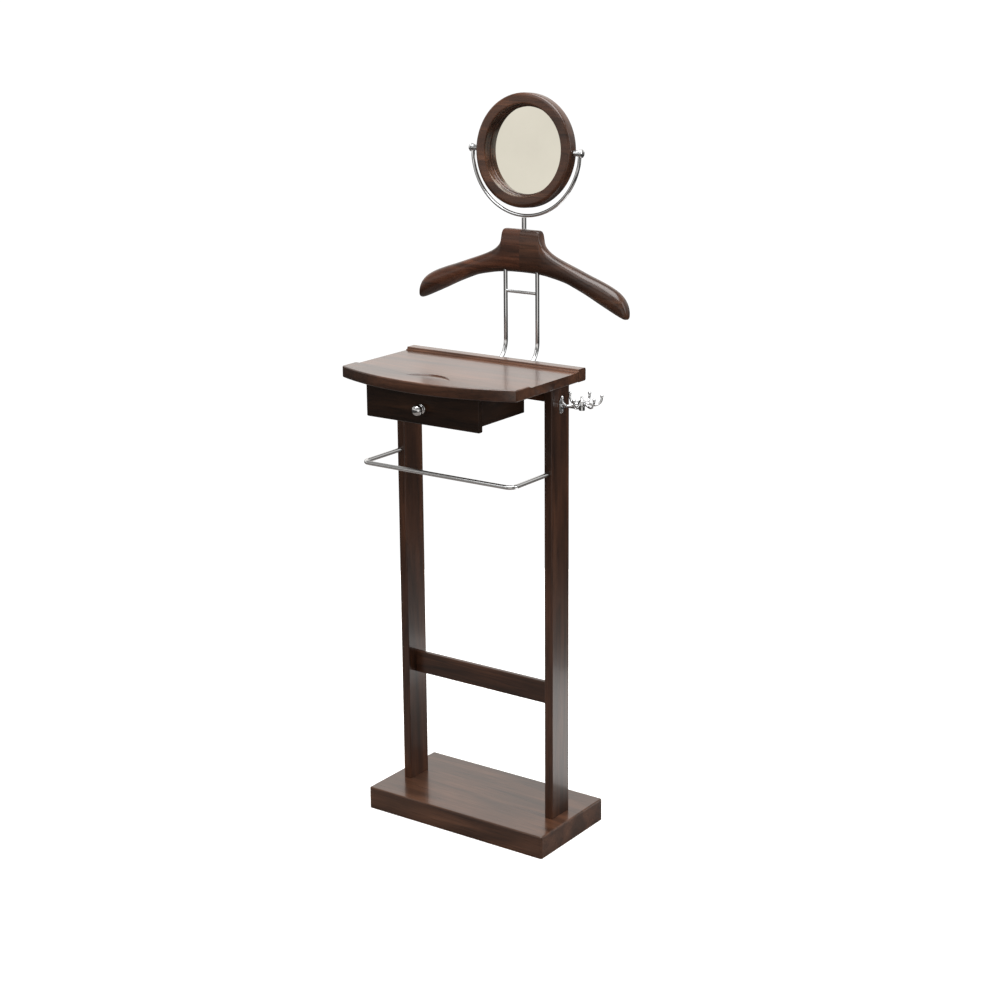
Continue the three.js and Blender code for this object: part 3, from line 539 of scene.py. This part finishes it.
# Mirror pins and knobs, as (radius, distance from the middle) in mm.
PIN = [(0, 97.4), (2.5, 97.4), (2.5, 107.9), (4.6, 108.2), (5.5, 109.2), (5.5, 118.2),
       (5, 118.9), (2.5, 118.9), (2.5, 126.8), (0, 126.8)]
KNOB = [(0, 127.1), (2.8, 127.1), (2.8, 123.1), (7.2, 123.1), (8, 123.6), (8.2, 124.4),
        (8.2, 125.8), (7.8, 127), (6.8, 127.9), (5, 128.7), (3, 129.1), (0, 129.2)]
for side, sign in (("left", -1), ("right", 1)):
    for node, profile, ease in ((f"mirror_pin_{side}", PIN, 0.2),
                                (f"mirror_knob_{side}", KNOB, 0.3)):
        turned(f"{node}_chrome", node, chrome, rounded(profile, ease), 48, "X", PIVOT, sign)

# Drawer knob, as (radius, distance from the drawer front's face), and its screw, as (radius,
# distance from its tip), in mm.
PULL = [(0, 21), (4, 20.7), (7.4, 19.2), (9.8, 16.6), (10.8, 13.4), (10.1, 10.4), (7.4, 8.2),
        (5.2, 6.6), (4.8, 4.4), (6, 3), (8.8, 2.2), (9.2, 0.8), (8.6, 0), (0, 0)]
KNOB_SCREW = [(0, 0), (2, 0), (2, 19), (3.2, 19.5), (3.4, 20.4), (2.6, 21.6), (0, 22)]
lo, hi = box_of("drawer_knob")
knob_z = (lo.z + hi.z) / 2
turned("drawer_knob_chrome", "drawer_knob", chrome, rounded(PULL, 0.4), 64,
       "Y", (0, hi.y * MM, knob_z * MM), -1, 50)
screw_tip_y = box_of("drawer_knob_screw")[0].y
turned("drawer_knob_screw_steel", "drawer_knob_screw", steel, rounded(KNOB_SCREW, 0.25), 32,
       "Y", (0, screw_tip_y * MM, knob_z * MM))

# Hook bracket, its screws, hub and prongs. A prong is (distance from the pin, height) in mm.
BRACKET_SCREW = [(0, 0), (1.6, 0), (1.6, 14.4), (3.1, 14.4), (2.8, 15.4), (1.5, 16), (0, 16.1)]
HUB = [(2.8, 0), (6.4, 0), (7.2, 1.2), (7.2, 8.8), (6, 10.6), (2.8, 11.4)]
PRONG = [(7.5, 9.2), (13, 8.6), (19, 6.4), (25, 5.4), (30.5, 7.2), (34.4, 11.4), (36.2, 16),
         (36.2, 20.2)]
PRONG_COUNT, PRONG_R, FIRST_PRONG_DEG = 6, 2.1, 40
BALL_R, BALL_OUT, BALL_RISE = 3.1, 36.4, 21.6
PRONG_DROP = 3.8

refined("hook_bracket", "hook_bracket_chrome", chrome, 50)
for level in ("lower", "upper"):
    lo, hi = box_of(f"hook_screw_{level}")
    turned(f"hook_screw_{level}_steel", f"hook_screw_{level}", steel,
           rounded(BRACKET_SCREW, 0.25), 32, "X", (lo.x * MM, 0, (lo.z + hi.z) / 2 * MM))
lo, hi = box_of("hook_hub")
hub = Vector(((lo.x + hi.x) / 2, 0, lo.z))
bm = bmesh.new()
ring_surface(bm, lathe_rings(HUB, 48, "Z", hub * MM), closed=True)
finish_mesh(bm, "hook_hub_chrome", "hook_hub", chrome, 40)

prong_foot = hub - Vector((0, 0, PRONG_DROP))
for i in range(PRONG_COUNT):
    angle = math.radians(FIRST_PRONG_DEG + 360 / PRONG_COUNT * i)
    outward = Vector((math.cos(angle), math.sin(angle), 0))
    line = [prong_foot + outward * p[0] + Vector((0, 0, p[1])) for p in catmull(PRONG, 6)]
    bm = bmesh.new()
    ring_surface(bm, tube_rings([p * MM for p in line], PRONG_R * MM, 20))
    ball = bmesh.ops.create_uvsphere(bm, u_segments=28, v_segments=18, radius=BALL_R * MM)
    spot = prong_foot + outward * BALL_OUT + Vector((0, 0, BALL_RISE))
    bmesh.ops.translate(bm, verts=ball["verts"], vec=spot * MM)
    finish_mesh(bm, f"hook_prong_{i + 1}_chrome", f"hook_prong_{i + 1}", chrome, 50)


# ---------------------------------------------------------------- studio
STUDIO_WHITE = (0.9, 0.9, 0.895, 1)
FLOOR_RADIUS = 1.6
CARD_SIZE, CARD_PLACE = 0.56, (0.52, 0.47, 0.002)


def floor_paint():
    """White paint that is bright to look at and throws little light back on the object."""
    n = new_material("studio_floor_paint")
    n.bsdf.inputs["Base Color"].default_value = STUDIO_WHITE
    n.bsdf.inputs["Roughness"].default_value = 0.9
    n.bsdf.inputs["Specular IOR Level"].default_value = 0.1
    n.bsdf.inputs["Emission Color"].default_value = (1, 1, 1, 1)
    n.bsdf.inputs["Emission Strength"].default_value = 0.35
    dull = n.add("ShaderNodeBsdfDiffuse", Color=(0.22, 0.2, 0.19, 1))
    ray = n.add("ShaderNodeLightPath")
    mix = n.add("ShaderNodeMixShader")
    n.join(ray.outputs["Is Camera Ray"], mix.inputs[0])
    n.join(dull.outputs[0], mix.inputs[1])
    n.join(n.bsdf.outputs[0], mix.inputs[2])
    n.join(mix.outputs[0], n.tree.nodes["Material Output"].inputs["Surface"])
    return n.owner


def card_paint():
    """Warm glowing card that the chrome and the lacquer reflect."""
    n = new_material("studio_light_card_paint")
    n.bsdf.inputs["Base Color"].default_value = STUDIO_WHITE
    n.bsdf.inputs["Emission Color"].default_value = (1, 0.97, 0.94, 1)
    n.bsdf.inputs["Emission Strength"].default_value = 1.1
    return n.owner


bpy.ops.mesh.primitive_circle_add(vertices=128, radius=FLOOR_RADIUS, fill_type="NGON",
                                  location=(0, 0, 0))
floor = bpy.context.object
floor.name = "studio_floor"
floor.data.materials.append(floor_paint())
bpy.ops.mesh.primitive_plane_add(size=CARD_SIZE, location=CARD_PLACE)
card = bpy.context.object
card.name = "studio_light_card"
card.data.materials.append(card_paint())

# The surround looks white; what it lights and reflects is a dim room with three bright sides.
scene.world = bpy.data.worlds.new("studio_surround")
sky = Nodes(scene.world)
sky.tree.nodes.clear()
out = sky.add("ShaderNodeOutputWorld")
mixer = sky.add("ShaderNodeMixShader")
seen = sky.add("ShaderNodeBackground", Color=(1, 1, 1, 1), Strength=1.05)
lit = sky.add("ShaderNodeBackground", Color=(1, 0.965, 0.925, 1))
path = sky.add("ShaderNodeLightPath")
split = sky.add("ShaderNodeSeparateXYZ")
sky.join(sky.add("ShaderNodeTexCoord").outputs["Generated"], split.inputs[0])


def half_scale(value):
    """A value from -1 to 1 put on a scale from 0 to 1."""
    return sky.maths("ADD", sky.maths("MULTIPLY", value, 0.5), 0.5)


def facing(x, y):
    """How far a direction points the same way as (x, y) on plan, from 0 to 1."""
    dot = sky.maths("ADD", sky.maths("MULTIPLY", split.outputs["X"], x),
                    sky.maths("MULTIPLY", split.outputs["Y"], y))
    return half_scale(dot)


def levels(source, stops):
    return sky.ramp(source, [(place, grey(v)) for place, v in stops])


def bright_side(direction, spread, heights, strength):
    """Light from one side: spread on plan, levels by height, and its strength."""
    shape = sky.maths("MULTIPLY", levels(facing(*direction), spread), levels(rise, heights))
    return sky.maths("MULTIPLY", shape, strength)


rise = half_scale(split.outputs["Z"])
ambient = levels(rise, [(0.0, 0.06), (0.4, 0.06), (0.46, 0.2), (0.6, 0.26), (0.9, 0.4),
                        (0.95, 1.0)])
back = bright_side((-0.576, 0.817), [(0.5, 0.0), (0.85, 1.0)],
                   [(0.49, 0.0), (0.54, 0.9), (0.66, 1.0), (0.73, 1.15), (0.82, 0.0)], 0.86)
left = bright_side((-0.563, -0.826), [(0.84, 0.0), (0.93, 1.0)],
                   [(0.44, 0.0), (0.47, 1.0), (0.55, 1.0), (0.6, 0.0)], 0.64)
front = bright_side((0.576, -0.817), [(0.93, 0.0), (0.97, 1.0)],
                    [(0.3, 0.0), (0.34, 1.0), (0.6, 1.0), (0.64, 0.0)], 0.9)
glow = sky.maths("ADD", sky.maths("ADD", ambient, back), sky.maths("ADD", left, front))
sky.join(glow, lit.inputs["Strength"])
sky.join(path.outputs["Is Camera Ray"], mixer.inputs[0])
sky.join(lit.outputs[0], mixer.inputs[1])
sky.join(seen.outputs[0], mixer.inputs[2])
sky.join(mixer.outputs[0], out.inputs["Surface"])


def softbox(name, place, aim, width, height, power):
    """Rectangular light of a size in metres and a power in watts, aimed at a point."""
    data = bpy.data.lights.new(name, "AREA")
    data.shape = "RECTANGLE"
    data.size, data.size_y = width, height
    data.energy = power
    obj = bpy.data.objects.new(name, data)
    scene.collection.objects.link(obj)
    obj.location = place
    obj.rotation_euler = (Vector(aim) - Vector(place)).to_track_quat("-Z", "Y").to_euler()


softbox("softbox_overhead", (0.2, -0.3, 3.4), (0, 0, 0.6), 2.4, 2.4, 125)
softbox("softbox_right", (2.8, 0.9, 2.2), (0, 0, 0.8), 1.2, 2.2, 26)
softbox("softbox_front", (-1.2, -2.6, 3.0), (0, 0, 0.7), 1.6, 1.6, 15)

# ---------------------------------------------------------------- camera
AZIMUTH, PITCH, ROLL = math.radians(35.19), math.radians(14.56), math.radians(-0.43)
CAMERA_DISTANCE, CAMERA_HEIGHT, CAMERA_SIDE = 3.555, 1.65, 0.035
SENSOR_MM, FOCAL_IN_SENSORS, SHIFT_Y = 36.0, 1.9344, -0.04
up = Vector((0, 0, 1))
forward = Vector((-math.sin(AZIMUTH), math.cos(AZIMUTH), 0))
right = Vector((math.cos(AZIMUTH), math.sin(AZIMUTH), 0))
look = forward * math.cos(PITCH) - up * math.sin(PITCH)
camera_data = bpy.data.cameras.new("photo_view")
camera_data.sensor_width = SENSOR_MM
camera_data.lens = SENSOR_MM * FOCAL_IN_SENSORS
camera_data.shift_y = SHIFT_Y
camera_data.clip_start, camera_data.clip_end = 0.05, 60
camera = bpy.data.objects.new("photo_view", camera_data)
scene.collection.objects.link(camera)
camera.location = -forward * CAMERA_DISTANCE + right * CAMERA_SIDE + up * CAMERA_HEIGHT
aimed = look.to_track_quat("-Z", "Y").to_matrix()
camera.rotation_euler = (aimed @ Matrix.Rotation(ROLL, 3, "Z")).to_euler()
scene.camera = camera

scene.view_settings.view_transform = "Standard"
scene.view_settings.look = "None"
